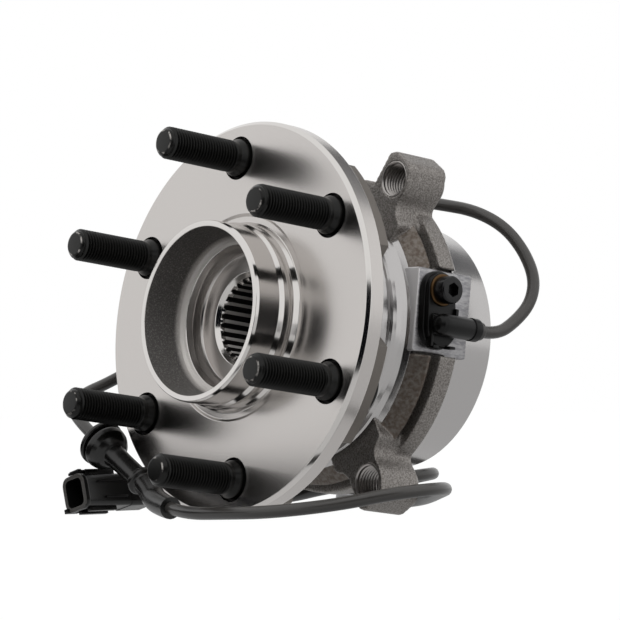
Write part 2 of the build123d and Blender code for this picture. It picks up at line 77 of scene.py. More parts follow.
def add_node(tree, kind, **settings):
    """Adds a node. A setting names a property, or an input by its name or as in0, in1."""
    made = tree.nodes.new(kind)
    for key, value in settings.items():
        if key[:2] == "in" and key[2:].isdigit():
            target = made.inputs[int(key[2:])]
        elif hasattr(made, key):
            setattr(made, key, value)
            continue
        else:
            target = made.inputs[key.replace("_", " ")]
        if isinstance(value, bpy.types.NodeSocket):
            tree.links.new(value, target)
        else:
            target.default_value = value
    return made


world = bpy.data.worlds.new("white_room")
bpy.context.scene.world = world
world.use_nodes = True
room = world.node_tree
room.nodes.clear()
ray = add_node(room, "ShaderNodeLightPath")
seen = add_node(room, "ShaderNodeMath", operation="MAXIMUM",
                in0=ray.outputs["Is Camera Ray"], in1=ray.outputs["Is Glossy Ray"])
seen = add_node(room, "ShaderNodeMath", operation="MAXIMUM",
                in0=seen.outputs[0], in1=ray.outputs["Is Transmission Ray"])
ambient = add_node(room, "ShaderNodeBackground", Color=hex_colour("#FFFFFF"), Strength=0.5)
white = add_node(room, "ShaderNodeBackground", Color=hex_colour("#FFFFFF"), Strength=1.0)
both = add_node(room, "ShaderNodeMixShader", in0=seen.outputs[0], in1=ambient.outputs[0],
                in2=white.outputs[0])
add_node(room, "ShaderNodeOutputWorld", Surface=both.outputs[0])

for lamp_name, place, width, power in (
        ("key_lamp", (0.25, -0.85, 1.05), 0.9, 12.0),
        ("side_lamp", (1.15, 0.25, 0.65), 0.8, 8.0)):
    lamp = bpy.data.lights.new(lamp_name, "AREA")
    lamp.size = width
    lamp.energy = power
    lamp_object = link_object(lamp_name, lamp)
    aim = (Vector((0, 0.03, 0)) - Vector(place)).to_track_quat("-Z", "Y")
    lamp_object.matrix_world = Matrix.Translation(place) @ aim.to_matrix().to_4x4()
    lamp_object.visible_glossy = False

# Flags: dark cards that only a gloss mirrors. Two stand for the unlit side of the studio
# behind the camera, one stands low in front of the flange, and one hangs over the back.
for flag_name, shade, place, width, height in (
        ("studio_dark", "#101114", (1.10, -1.02, 0.10), 1.3, 0.80),
        ("low_flag", "#101114", (0.250, -0.235, -0.080), 0.40, 0.13),
        ("foot_flag", "#101114", (-0.096, -0.088, -0.074), 0.15, 0.046),
        ("top_flag", "#4A4B4F", (-0.08, 0.64, 0.73), 0.66, 0.20)):
    felt = bpy.data.materials.new(flag_name)
    felt.use_nodes = True
    tree = felt.node_tree
    tree.nodes.clear()
    dim = add_node(tree, "ShaderNodeEmission", Color=hex_colour(shade), Strength=1.0)
    add_node(tree, "ShaderNodeOutputMaterial", Surface=dim.outputs[0])
    half_w, half_h = width / 2, height / 2
    aim = Vector(place).to_track_quat("Z", "Y").to_matrix().to_4x4()
    flag_data = bpy.data.meshes.new(flag_name)
    flag_data.from_pydata([(-half_w, -half_h, 0), (half_w, -half_h, 0), (half_w, half_h, 0),
                           (-half_w, half_h, 0)], [], [(0, 1, 2, 3)])
    flag_data.transform(Matrix.Translation(place) @ aim)
    flag_data.materials.append(felt)
    flag = link_object(flag_name, flag_data)
    flag.visible_camera = False
    flag.visible_diffuse = False
    flag.visible_shadow = False
    flag.visible_transmission = False

# Floor: white paper that the flange rim and the lower ears stand on. It leans by the
# angle at which the real unit tips back, and the rim's back edge touches it. It gives the
# unit only a dim light back.
floor_slope = 0.13095
rim_low_z = -85.3 * mm
rim_back_y = 8.2 * mm
floor_mesh = bmesh.new()
bmesh.ops.create_grid(floor_mesh, x_segments=2, y_segments=2, size=3.0)
bmesh.ops.rotate(floor_mesh, verts=floor_mesh.verts,
                 matrix=Matrix.Rotation(math.atan(floor_slope), 3, "X"))
bmesh.ops.translate(floor_mesh, verts=floor_mesh.verts,
                    vec=(0, 0, rim_low_z - floor_slope * rim_back_y))
floor_data = bpy.data.meshes.new("paper_floor")
floor_mesh.to_mesh(floor_data)
floor_mesh.free()
floor = link_object("paper_floor", floor_data)
paper = bpy.data.materials.new("white_studio_paper")
paper.use_nodes = True
tree = paper.node_tree
tree.nodes.clear()
ray = add_node(tree, "ShaderNodeLightPath")
lit = add_node(tree, "ShaderNodeBsdfDiffuse", Color=hex_colour("#4A4A4A"))
# The camera gets 0.88 of a glow of 1.135, which is plain white at a strength of 1, and the
# rest of what it gets is the lit paper with its soft shadow.
glow = add_node(tree, "ShaderNodeEmission", Color=hex_colour("#FFFFFF"), Strength=1.135)
share = add_node(tree, "ShaderNodeMath", operation="MULTIPLY",
                 in0=ray.outputs["Is Glossy Ray"], in1=0.55)
share = add_node(tree, "ShaderNodeMath", operation="MULTIPLY_ADD",
                 in0=ray.outputs["Is Camera Ray"], in1=0.88, in2=share.outputs[0])
mixed = add_node(tree, "ShaderNodeMixShader", in0=share.outputs[0], in1=lit.outputs[0],
                 in2=glow.outputs[0])
add_node(tree, "ShaderNodeOutputMaterial", Surface=mixed.outputs[0])
floor_data.materials.append(paper)


# Cable: two cores in a smooth round rubber jacket, 5.4 mm thick. It leaves the sensor,
# passes behind the unit to the grommet, and runs on under the hub to the connector.
def new_finish(name, colour, metallic, roughness):
    """A material with its main shader; patterns are then linked into it."""
    made = bpy.data.materials.new(name)
    made.use_nodes = True
    shader = made.node_tree.nodes["Principled BSDF"]
    shader.inputs["Base Color"].default_value = hex_colour(colour)
    shader.inputs["Metallic"].default_value = metallic
    shader.inputs["Roughness"].default_value = roughness
    return made, made.node_tree, shader


def add_grain(tree, shader, size, depth, detail=3.0, stretch=(1, 1, 1)):
    """Fine relief: noise of that grain size, raised by depth, both in millimetres.

    A skin with a finer grain than 0.3 mm is drawn that coarse or coarser, so that it shows.
    """
    where = add_node(tree, "ShaderNodeTexCoord")
    turned = add_node(tree, "ShaderNodeMapping", Vector=where.outputs["Object"], Scale=stretch)
    noise = add_node(tree, "ShaderNodeTexNoise", Vector=turned.outputs[0],
                     Scale=1 / (size * mm), Detail=detail)
    bump = add_node(tree, "ShaderNodeBump", Height=noise.outputs["Fac"],
                    Distance=depth * mm, Strength=1.0)
    tree.links.new(bump.outputs[0], shader.inputs["Normal"])
    return noise


# Extruded rubber: smooth and nearly black, with a soft highlight along the cable that
# waves a little every few millimetres.
jacket, tree, shader = new_finish("extruded_rubber_jacket", "#343230", 0.0, 0.30)
shader.inputs["Specular IOR Level"].default_value = 0.6
add_grain(tree, shader, 3.0, 0.002, detail=1.0)

cable_d = 5.4 * mm
sensor_route = [
    (71, 77.4, 3), (71, 86.5, 3), (72, 95.5, 9.5), (73.5, 102.5, 18.5), (72.5, 105, 29.5),
    (67, 102.5, 41.5), (58.5, 97.5, 52), (46, 91, 58.5), (30.5, 85.5, 61), (13, 81, 63.3),
    (-8, 78, 63), (-34, 75, 58), (-57, 69, 44), (-76, 60, 24), (-90, 47, 3),
    (-98.5, 32, -13), (-104, 15, -25.5), (-104.5, 0, -33), (-99.5, -8.5, -40.5),
    (-84.68, -10.46, -49.26), (-74.5, -10, -54.8)]
lead_route = [
    (-14, -14, -83.4), (2.24, -18.43, -85.76), (30, -20, -85), (52, -18.5, -84),
    (71, -12, -81.3), (86, -2, -77.5), (97, 8.5, -73), (103.5, 21.5, -69.7),
    (101, 35, -67.7), (91, 46.5, -67), (77, 56, -67.5), (62, 66, -68.3), (46, 75, -69.3),
    (28, 81, -70.3), (7, 83, -70.7), (-14, 84.5, -70.4), (-29.5, 93, -67.6),
    (-31.5, 110.5, -62.5), (-19, 123.5, -57), (-1, 123.5, -54), (12, 110.5, -55),
    (10.5, 93, -59), (-3, 81, -62.8), (-20, 76, -66), (-40, 75, -70), (-60, 72.5, -72.5),
    (-75, 62, -72.5), (-81.42, 46.47, -70.69), (-81, 32.58, -72.44)]


def cable_curve(name, route, thickness, finish, swells, steps=12, round_steps=6):
    """A round cord along a smooth line whose control points are the route's."""
    line = bpy.data.curves.new(name, "CURVE")
    line.dimensions = "3D"
    spline = line.splines.new("NURBS")
    spline.points.add(len(route) - 1)
    for point, (x, y, z), swell in zip(spline.points, route, swells):
        point.co = (x * mm, y * mm, z * mm, 1)
        point.radius = swell
    spline.order_u = 3
    spline.use_endpoint_u = True
    spline.resolution_u = steps
    line.bevel_depth = thickness / 2
    line.bevel_resolution = round_steps
    line.use_fill_caps = True
    line.materials.append(finish)
    return link_object(name, line)


sensor_cable = cable_curve("sensor_lead", sensor_route, cable_d, jacket,
                           [1.0] * len(sensor_route))
lead_cable = cable_curve("connector_lead", lead_route, cable_d, jacket,
                         [1.0] * len(lead_route))
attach(sensor_cable, "carrier")
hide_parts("sensor_cable")
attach(lead_cable, "carrier")
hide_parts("lead_cable")


# Hub forging: wheel flange, nose and spindle in one piece of forged steel. The face,
# rim and nose are fine turned, and the cup in the nose keeps its rough forged skin.
def spin_outline(name, outline, soften=0.25, steps=240, closed=True):
    """Turns an outline of (radius, y) in millimetres round the spin axis, corners eased."""
    shape = bmesh.new()
    points = [shape.verts.new((r * mm, y * mm, 0)) for r, y in outline]
    pairs = list(zip(points, points[1:]))
    if closed:
        pairs.append((points[-1], points[0]))
    for pair in pairs:
        shape.edges.new(pair)
    if soften:
        corners = [v for v in shape.verts if len(v.link_edges) == 2 and v.co.x > 1e-6]
        bmesh.ops.bevel(shape, geom=corners, offset=soften * mm, affect="VERTICES",
                        segments=3, profile=0.5, material=-1, clamp_overlap=True)
    bmesh.ops.spin(shape, geom=shape.verts[:] + shape.edges[:], cent=(0, 0, 0),
                   axis=(0, 1, 0), angle=math.tau, steps=steps, use_merge=True)
    bmesh.ops.remove_doubles(shape, verts=shape.verts, dist=1e-6)
    bmesh.ops.recalc_face_normals(shape, faces=shape.faces)
    return shape


def shape_to_object(name, shape, *finishes, sharp=32):
    """Makes the object of a finished bmesh, smooth but for its sharp edges."""
    data = bpy.data.meshes.new(name)
    shape.to_mesh(data)
    shape.free()
    for finish in finishes:
        data.materials.append(finish)
    data.polygons.foreach_set("use_smooth", [True] * len(data.polygons))
    data.set_sharp_from_angle(angle=math.radians(sharp))
    return link_object(name, data)


def even_normals(target):
    """Lets large faces keep their own normal, so that only the eased edges look round."""
    step = target.modifiers.new("even_normals", "WEIGHTED_NORMAL")
    step.keep_sharp = True


def bake(target):
    """Keeps the result of an object's modifiers as its mesh."""
    bpy.context.view_layer.update()
    result = bpy.data.meshes.new_from_object(
        target.evaluated_get(bpy.context.evaluated_depsgraph_get()))
    target.modifiers.clear()
    target.data = result


def use_boolean(target, tool, operation):
    """Cuts or joins one object with another, keeps the result and drops the tool."""
    step = target.modifiers.new(operation.lower(), "BOOLEAN")
    step.object = tool
    step.operation = operation
    step.solver = "EXACT"
    bake(target)
    bpy.data.objects.remove(tool)


def on_circle(radius, angle):
    """A point round the spin axis, at an angle in degrees from +Z towards +X."""
    turn = math.radians(angle)
    return Vector((radius * math.sin(turn), 0, radius * math.cos(turn))) * mm


def rods(name, places, radius, low_y, high_y, sides=64):
    """Plain cylinders along Y at several places, used to cut or to fill."""
    shape = bmesh.new()
    for x, z in places:
        bmesh.ops.create_cone(
            shape, cap_ends=True, segments=sides, radius1=radius * mm, radius2=radius * mm,
            depth=(high_y - low_y) * mm,
            matrix=Matrix.Translation((x * mm, (low_y + high_y) / 2 * mm, z * mm))
            @ Matrix.Rotation(math.pi / 2, 4, "X"))
    return shape_to_object(name, shape)


def part_axes(tree):
    """The outputs X, Y and Z of a place on the piece."""
    where = add_node(tree, "ShaderNodeTexCoord")
    return add_node(tree, "ShaderNodeSeparateXYZ", Vector=where.outputs["Object"]).outputs


def add_feed_marks(tree, shader, along, spacing, depth):
    """Rings left by a turning tool, spaced along a value, in millimetres.

    They lie 0.1 to 0.2 mm apart on the part, and are drawn wider apart so that they show.
    """
    marks = add_node(tree, "ShaderNodeTexNoise", noise_dimensions="1D", W=along,
                     Scale=1 / (spacing * mm), Detail=2.0)
    bump = add_node(tree, "ShaderNodeBump", Height=marks.outputs["Fac"], Distance=depth * mm)
    tree.links.new(bump.outputs[0], shader.inputs["Normal"])


def add_two_tones(tree, shader, value, low, high, dark, light):
    """Colours a surface from dark to light where a value runs from low to high."""
    spread = add_node(tree, "ShaderNodeMapRange", Value=value, From_Min=low, From_Max=high)
    tint = add_node(tree, "ShaderNodeMix", data_type="RGBA", in0=spread.outputs[0],
                    in6=hex_colour(dark), in7=hex_colour(light))
    tree.links.new(tint.outputs[2], shader.inputs["Base Color"])


# Turned steel of the face: pale, with rings that draw each reflection out across them.
turned_steel, tree, shader = new_finish("fine_turned_steel", "#C6C2BF", 1.0, 0.25)
spun = add_node(tree, "ShaderNodeTangent", direction_type="RADIAL", axis="Y")
tree.links.new(spun.outputs[0], shader.inputs["Tangent"])
shader.inputs["Anisotropic"].default_value = 0.5
axes = part_axes(tree)
flat = add_node(tree, "ShaderNodeCombineXYZ", X=axes["X"], Y=axes["Z"])
reach = add_node(tree, "ShaderNodeVectorMath", operation="LENGTH", in0=flat.outputs[0])
add_feed_marks(tree, shader, reach.outputs["Value"], 0.8, 0.004)

# Polished steel of the nose and the edges: clear, sharp bands of light and dark.
ground_steel, tree, shader = new_finish("polished_turned_steel", "#D3D0CD", 1.0, 0.13)
add_feed_marks(tree, shader, part_axes(tree)["Y"], 0.5, 0.003)

# Forged skin behind the flange: dull grey and pitted by the shot.
forged_skin, tree, shader = new_finish("shot_blasted_forging", "#77726D", 0.9, 0.50)
add_grain(tree, shader, 0.9, 0.16, detail=5.0)

# The blasted skin of the cup is dark on the wall, with small painted glints where the grain
# peaks, and it is paler towards its floor.
cup_skin, tree, shader = new_finish("blasted_cup", "#4C4A48", 0.55, 0.5)
grain_and_glint_noise = add_grain(tree, shader, 0.65, 0.20, detail=3.0)
# Painted glints: the peaks of the grain are coloured light.
painted_glint = add_node(tree, "ShaderNodeMapRange", Value=grain_and_glint_noise.outputs["Fac"], From_Min=0.48,
                 From_Max=0.70, To_Min=0.0, To_Max=0.28)
depth = add_node(tree, "ShaderNodeMapRange", Value=part_axes(tree)["Y"],
                 From_Min=-6.0 * mm, From_Max=-3.2 * mm)
paler_floor_and_painted_glints = add_node(tree, "ShaderNodeMath", operation="ADD", in0=depth.outputs[0],
                  in1=painted_glint.outputs[0])
add_two_tones(tree, shader, paler_floor_and_painted_glints.outputs[0], 0.0, 1.0, "#646260", "#D0CCC8")

# Broached and drilled walls and the stud reliefs: painted shade, near black, in the gaps.
painted_shade_steel, tree, shader = new_finish("dark_steel_painted_shade", "#1C1A19", 0.6, 0.5)
add_grain(tree, shader, 0.5, 0.02)

flange_r = 85.0
flange_t = 9.0
nose_len = 20.75
nose_r = 39.0
spline_root_r = 18.6
spline_tip_r = 17.3
forging_end_y = 97.4
stud_pcd_r = 69.85
stud_angles = [-6.5 + 60 * i for i in range(6)]
stud_spots = [on_circle(stud_pcd_r, angle) for angle in stud_angles]
stud_places = [(spot.x / mm, spot.z / mm) for spot in stud_spots]
stud_pad_r = 24
stud_pad_end_y = 15
stud_hole_r = 8.3
stud_relief_r = 9.5
shape = spin_outline("hub_forging", [
    (36.2, -nose_len), (nose_r - 0.5, -nose_len), (nose_r, -nose_len + 1.4), (nose_r, -8.5),
    (40, -6.5), (40, -1.6), (41.2, 0.8), (43.8, 0.8), (44.8, 0), (flange_r - 1.5, 0),
    (flange_r, 1.5), (flange_r, 8.2), (flange_r - 0.8, flange_t), (56, flange_t),
    (45.5, 18), (42, 21), (42, 30), (41.5, 30.5), (35.4, 31.5), (35.4, 33.7),
    (31.2, 36.4), (29.9, 41), (31, 45), (31, 65), (24.5, 65), (24.5, 94), (29, 94),
    (28, forging_end_y), (20, forging_end_y), (spline_root_r, 96),
    (spline_root_r, 7.4), (20.4, 5.6), (28.6, 5.6), (29.3, 4.6), (30.0, 1.0), (31.2, -1.7),
    (32.6, -2.2), (33.6, -3.2), (34.3, -4.9), (34.7, -8)])
# Each face takes its finish from its place: the cup's skin, the bore painted dark as its
# shade, the turned floor, the polished nose, and the polished edges of the rim.
turned_slot, ground_slot, forged_slot, cup_slot, painted_shade_slot = range(5)
for face in shape.faces:
    middle = face.calc_center_median() / mm
    r = math.hypot(middle.x, middle.z)
    if r < 36.1 and middle.y < -1.72:
        face.material_index = cup_slot
    elif r < 18.8 and middle.y > 7.5:
        face.material_index = painted_shade_slot
    elif 20.6 < r < 31.2 and -1.7 < middle.y < 6:
        face.material_index = turned_slot
    elif r < 41.3 and middle.y < 7.6:
        face.material_index = ground_slot
    elif r > flange_r - 1.6 and (middle.y < 1.6 or middle.y > 8.15) and middle.y > 0.02:
        face.material_index = ground_slot
hub_forging = shape_to_object("hub_forging", shape, turned_steel, ground_steel, forged_skin,
                              cup_skin, painted_shade_steel)
pads = rods("stud_pads", stud_places, stud_pad_r, flange_t - 1.5, stud_pad_end_y)
shape = spin_outline("pad_limit", [(52, 7), (83, 7), (83, 16), (52, 16)], soften=0, steps=180)
use_boolean(pads, shape_to_object("pad_limit", shape), "INTERSECT")
use_boolean(hub_forging, pads, "UNION")
use_boolean(hub_forging, rods("stud_holes", stud_places, stud_hole_r, -1,
                              stud_pad_end_y + 1), "DIFFERENCE")
use_boolean(hub_forging, rods("stud_reliefs", stud_places, stud_relief_r, -1, 2.4),
            "DIFFERENCE")
for face in hub_forging.data.polygons:
    if face.material_index == turned_slot and face.center.y > 0.05 * mm:
        spot = face.center / mm
        near = min(math.hypot(spot.x - x, spot.z - z) for x, z in stud_places)
        # The reliefs round the studs take the painted shade.
        if near < stud_relief_r + 0.1:
            face.material_index = painted_shade_slot
        elif spot.y > flange_t - 0.05:
            face.material_index = forged_slot
hub_forging.data.set_sharp_from_angle(angle=math.radians(32))
even_normals(hub_forging)
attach(hub_forging, "rotor")
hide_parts("hub_flange")

# Axle spline: 28 straight teeth broached into the bore, with chamfered ends. The cut sides
# are painted black as their shade, and the tips between them are painted pale as highlights.
tooth_count = 28
tooth_pitch = math.tau * spline_tip_r / tooth_count
tooth_foot_w = 0.98 * tooth_pitch
tooth_tip_w = 0.36 * tooth_pitch
tooth_chamfer = 1.5
spline_start_y = 7.2
shape = bmesh.new()
bmesh.ops.create_cube(shape, size=1.0)
for corner in shape.verts:
    outer = corner.co.z > 0
    corner.co.x *= (tooth_foot_w if outer else tooth_tip_w) * mm
    corner.co.y = (spline_start_y + (0 if outer else tooth_chamfer) if corner.co.y < 0
                   else forging_end_y - 1.0) * mm
    corner.co.z = (spline_root_r + 0.2 if outer else spline_tip_r) * mm
bmesh.ops.bevel(shape, geom=shape.edges[:], offset=0.12 * mm, affect="EDGES", segments=1,
                profile=0.5, material=-1)
bmesh.ops.spin(shape, geom=shape.verts[:] + shape.edges[:] + shape.faces[:],
               cent=(0, 0, 0), axis=(0, 1, 0), angle=math.tau * (tooth_count - 1) / tooth_count,
               steps=tooth_count - 1, use_duplicate=True)
bmesh.ops.recalc_face_normals(shape, faces=shape.faces)
for face in shape.faces:
    middle = face.calc_center_median()
    side = abs(face.normal.dot(Vector((middle.z, 0, -middle.x)).normalized()))
    reach = math.hypot(middle.x, middle.z)
    # The sides of the teeth take the painted shade.
    if side > 0.5:
        face.material_index = 1
    # The tips of the teeth take the painted highlight.
    elif reach < (spline_tip_r + 0.1) * mm:
        face.material_index = 2
# Broached tips: pale and matt, a painted highlight for the bright lines between the teeth.
painted_pale_tips, tree, shader = new_finish("broached_tips_painted_pale", "#B9B6B3", 0.2, 0.45)
add_grain(tree, shader, 0.6, 0.01)
axle_spline = shape_to_object("axle_spline", shape, ground_steel, painted_shade_steel, painted_pale_tips)
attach(axle_spline, "rotor")

# Wheel studs: cold-headed and black phosphated, with a rolled M14 x 1.5 thread, a short
# flared collar, and a round head behind the flange.

# Zinc phosphate: black crystals with a film of oil, so the ribs keep a soft sheen.
phosphate, tree, shader = new_finish("black_zinc_phosphate", "#191918", 0.60, 0.30)
add_grain(tree, shader, 0.35, 0.012)
# The edge of the end is rubbed to bare steel in patches 3 to 4 mm long.
rubbed_edge, tree, shader = new_finish("rubbed_phosphate_edge", "#7C7976", 0.7, 0.36)
wear = add_grain(tree, shader, 3.5, 0.03)
add_two_tones(tree, shader, wear.outputs["Fac"], 0.50, 0.62, "#1B1A1A", "#A5A19D")

stud_tip_y = -41.5
stud_outline = [(0, stud_tip_y), (4.7, stud_tip_y), (5.2, stud_tip_y + 0.25),
                (6.0, stud_tip_y + 1.2), (6.0, -6.2), (6.9, -5.6), (6.9, -3.6),
                (8.1, -1.6), (8.2, -0.6), (8.2, 15), (11, 15), (11, 18.4), (9.6, 19.5),
                (0, 19.5)]
thread_pitch = 1.5
thread_steps = 40
thread_start_y = -40.9
thread_turns = 23
thread_profile = [(5.95, -0.02), (6.0, 0.16), (6.97, 0.66), (6.97, 0.78), (6.0, 1.28),
                  (5.95, 1.48)]
stud_turn = 67


def thread_ridge(profile, start_y, pitch, steps, turns):
    """Winds a (radius, y) profile in millimetres round the Y axis as a thread."""
    ridge = bmesh.new()
    points = [ridge.verts.new((r * mm, (start_y + y) * mm, 0)) for r, y in profile]
    for pair in zip(points, points[1:]):
        ridge.edges.new(pair)
    bmesh.ops.spin(ridge, geom=ridge.verts[:] + ridge.edges[:], cent=(0, 0, 0),
                   axis=(0, 1, 0), dvec=(0, pitch / steps * mm, 0),
                   angle=math.tau * turns, steps=steps * turns)
    return ridge


def add_shape(whole, shape):
    """Adds one finished bmesh to another."""
    part = bpy.data.meshes.new("part")
    shape.to_mesh(part)
    shape.free()
    whole.from_mesh(part)
    bpy.data.meshes.remove(part)


for number, (x, z) in enumerate(stud_places, start=1):
    shape = spin_outline("stud", stud_outline, soften=0.3, steps=64, closed=False)
    for face in shape.faces:
        middle = face.calc_center_median() / mm
        if middle.y < stud_tip_y + 0.35 and math.hypot(middle.x, middle.z) > 4.6:
            face.material_index = 1
    ridge = thread_ridge(thread_profile, thread_start_y, thread_pitch, thread_steps,
                         thread_turns)
    # The thread runs out over the end chamfer of the stud.
    for vert in ridge.verts:
        reach = math.hypot(vert.co.x, vert.co.z)
        limit = (5.1 + (vert.co.y / mm - stud_tip_y) * 0.8) * mm
        if reach > limit:
            vert.co.x *= limit / reach
            vert.co.z *= limit / reach
    bmesh.ops.recalc_face_normals(ridge, faces=ridge.faces)
    add_shape(shape, ridge)
    bmesh.ops.rotate(shape, verts=shape.verts,
                     matrix=Matrix.Rotation(math.radians(stud_turn * number), 3, "Y"))
    bmesh.ops.translate(shape, verts=shape.verts, vec=(x * mm, 0, z * mm))
    stud = shape_to_object(f"stud_{number}", shape, phosphate, rubbed_edge)
    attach(stud, "rotor")
    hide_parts(f"wheel_stud_{number}")


# Casting: the mounting ring, four ears and the sensor boss in one piece of iron. The skin
# stays as cast and blasted, with soft blends, and the ear holes are tapped M14.

# Blasted iron skin: grey, with sand-sized pits that sparkle a little.
cast_skin, tree, shader = new_finish("cast_iron_skin", "#77726E", 0.8, 0.42)
grain = add_grain(tree, shader, 0.7, 0.32, detail=3.0)
add_two_tones(tree, shader, grain.outputs["Fac"], 0.34, 0.66, "#6A6561", "#9C9894")
# The ramp in front of the groove keeps a brown tarnish.
tarnish, tree, shader = new_finish("tarnished_cast_skin", "#5E5249", 0.7, 0.42)
film = add_grain(tree, shader, 1.6, 0.22, detail=5.0)
add_two_tones(tree, shader, film.outputs["Fac"], 0.36, 0.64, "#5A5048", "#746E68")

ear_x = 43.0
ear_z = 65.0
ear_angle = math.atan2(ear_x, ear_z)
ear_front_y = 45.0
mount_y = 67.0
ear_outline = [(-15.6, -24), (-15.6, -14.5), (-9.6, -10), (-9.6, 10.4), (5.1, 10.4),
               (9.6, 1.0), (8.2, -9.5), (15.6, -13.5), (15.6, -24)]
ear_corner = [0, 1.5, 4.0, 4.5, 3.0, 3.5, 4.0, 1.5, 0]
pad_x = 62.0
pad_y = (47.0, 78.0)
pad_z = (-9.0, 27.0)


def box_shape(low, high, soften=0.0, segments=2):
    """A box between two corners in millimetres, its edges rounded by soften."""
    shape = bmesh.new()
    bmesh.ops.create_cube(shape, size=1.0)
    for corner in shape.verts:
        for i in range(3):
            corner.co[i] = (low[i] if corner.co[i] < 0 else high[i]) * mm
    if soften:
        bmesh.ops.bevel(shape, geom=shape.edges[:], offset=soften * mm, affect="EDGES",
                        segments=segments, profile=0.5, material=-1)
    return shape


shape = spin_outline("cast_ring", [
    (52, 44), (54.5, 46), (60.0, 47.9), (66.5, 54.3),
    (66.5, 55.1), (62.3, 55.1), (62.3, 57.5), (69.3, 57.5), (69.3, 66.7), (52, 66.7)],
    soften=0, steps=120)
casting = shape_to_object("cast_ring", shape)
pad_cut = box_shape((pad_x - 6, 36, pad_z[0] - 0.8), (90, 70, pad_z[1] + 0.8))
use_boolean(casting, shape_to_object("pad_cut", pad_cut), "DIFFERENCE")
boss = box_shape((48, pad_y[0] + 2.5, pad_z[0] + 0.6),
                 (pad_x - 1.5, pad_y[1] - 0.6, pad_z[1] - 0.6))
use_boolean(casting, shape_to_object("boss", boss), "UNION")
shape = bmesh.new()
for side_x, side_z in ((1, 1), (1, -1), (-1, -1), (-1, 1)):
    loop = []
    for (x, out), ease in zip(ear_outline, ear_corner):
        turned_x = ear_x + x * math.cos(ear_angle) + out * math.sin(ear_angle)
        turned_z = ear_z - x * math.sin(ear_angle) + out * math.cos(ear_angle)
        loop.append((shape.verts.new((side_x * turned_x * mm, ear_front_y * mm,
                                      side_z * turned_z * mm)), ease))
    face = shape.faces.new([corner for corner, ease in loop])
    for corner, ease in loop:
        if ease:
            bmesh.ops.bevel(shape, geom=[corner], offset=ease * mm, affect="VERTICES",
                            segments=5, profile=0.5, material=-1)
grown = bmesh.ops.extrude_face_region(shape, geom=shape.faces[:], use_keep_orig=True)
bmesh.ops.translate(shape, verts=[v for v in grown["geom"] if isinstance(v, bmesh.types.BMVert)],
                    vec=(0, (mount_y - 0.3 - ear_front_y) * mm, 0))
bmesh.ops.recalc_face_normals(shape, faces=shape.faces)
ears = shape_to_object("ears", shape)
ear_places = [(x, z) for x in (-ear_x, ear_x) for z in (-ear_z, ear_z)]
use_boolean(casting, ears, "UNION")
use_boolean(casting, rods("ear_holes", ear_places, 7.6, 40, 70, sides=48), "DIFFERENCE")
# The forms melt into each other as they do in the mould.
remesh = casting.modifiers.new("remesh", "REMESH")
remesh.mode = "VOXEL"
remesh.voxel_size = 0.75 * mm
smooth = casting.modifiers.new("smooth", "SMOOTH")
smooth.factor = 0.5
smooth.iterations = 2
bake(casting)
casting.name = "carrier_casting"
casting.data.materials.clear()
casting.data.materials.append(cast_skin)
casting.data.materials.append(tarnish)
for face in casting.data.polygons:
    middle = face.center / mm
    reach = math.hypot(middle.x, middle.z)
    if 60.2 < reach < 66.4 and abs(middle.y - 47.9 - (reach - 60.0)) < 0.8:
        face.material_index = 1
casting.data.polygons.foreach_set("use_smooth", [True] * len(casting.data.polygons))
casting.data.update()
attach(casting, "carrier")

# Machined parts of the casting: the polished front band with the seal bore, the ball
# bore, the knuckle pilot and the mounting face.

# Fine bored iron: bright grey, with soft bands of light round it.
bored_iron, tree, shader = new_finish("fine_bored_iron", "#B9B7B6", 1.0, 0.20)
add_feed_marks(tree, shader, part_axes(tree)["Y"], 0.6, 0.004)
sensor_y = 58.5
sensor_z = 2.5
sensor_bore_r = 8.6


def rod_along_x(name, y, z, radius, low_x, high_x, sides=64):
    """A plain cylinder along X, used to cut."""
    made = rods(name, [(0, 0)], radius, low_x, high_x, sides)
    made.data.transform(Matrix.Translation((0, y * mm, z * mm))
                        @ Matrix.Rotation(-math.pi / 2, 4, "Z"))
    return made


shape = spin_outline("bored_ring", [
    (48, 22), (55.7, 22), (56.5, 22.8), (56.5, 36.5), (56.2, 38.2), (56.1, 40), (56.3, 42),
    (56.9, 44), (58.1, 46.2), (60.3, 48), (58, 50), (54, 52), (54, 66.2),
    (69, 66.2), (69, 66.5), (68.5, 67), (52.8, 67), (52.8, 68.4), (54, 69.1), (54, 99.4),
    (52.6, 100.8), (46.5, 100.8), (46.5, 88.8), (44.3, 88.8), (44.3, 77), (43.6, 74),
    (41.6, 70.6), (41.6, 47.4), (43.6, 44), (44.3, 41), (44.3, 31.5), (48, 31.5)])
bored_ring = shape_to_object("bored_ring", shape, bored_iron)
pad_cut = box_shape((pad_x - 0.5, 60, pad_z[0] - 0.8), (90, 70, pad_z[1] + 0.8))
use_boolean(bored_ring, shape_to_object("pad_cut", pad_cut), "DIFFERENCE")
bore = rod_along_x("sensor_bore", sensor_y, sensor_z, sensor_bore_r, 40, 66)
use_boolean(bored_ring, bore, "DIFFERENCE")
bored_ring.data.set_sharp_from_angle(angle=math.radians(32))
even_normals(bored_ring)
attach(bored_ring, "carrier")
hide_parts("outer_ring")

# Sensor pad: the boss of the casting is milled flat on its top and front, and bored for
# the sensor's probe and bolt.
bolt_y = 56.5
bolt_z = 17.9

# Milled iron: dull, with strokes of the cutter about 3 mm long.
milled_iron, tree, shader = new_finish("milled_iron", "#9C9B9C", 0.9, 0.36)
scratch = add_grain(tree, shader, 0.8, 0.05, detail=4.0, stretch=(1, 0.3, 1))
add_two_tones(tree, shader, scratch.outputs["Fac"], 0.38, 0.62, "#8A898C", "#ABAAAB")
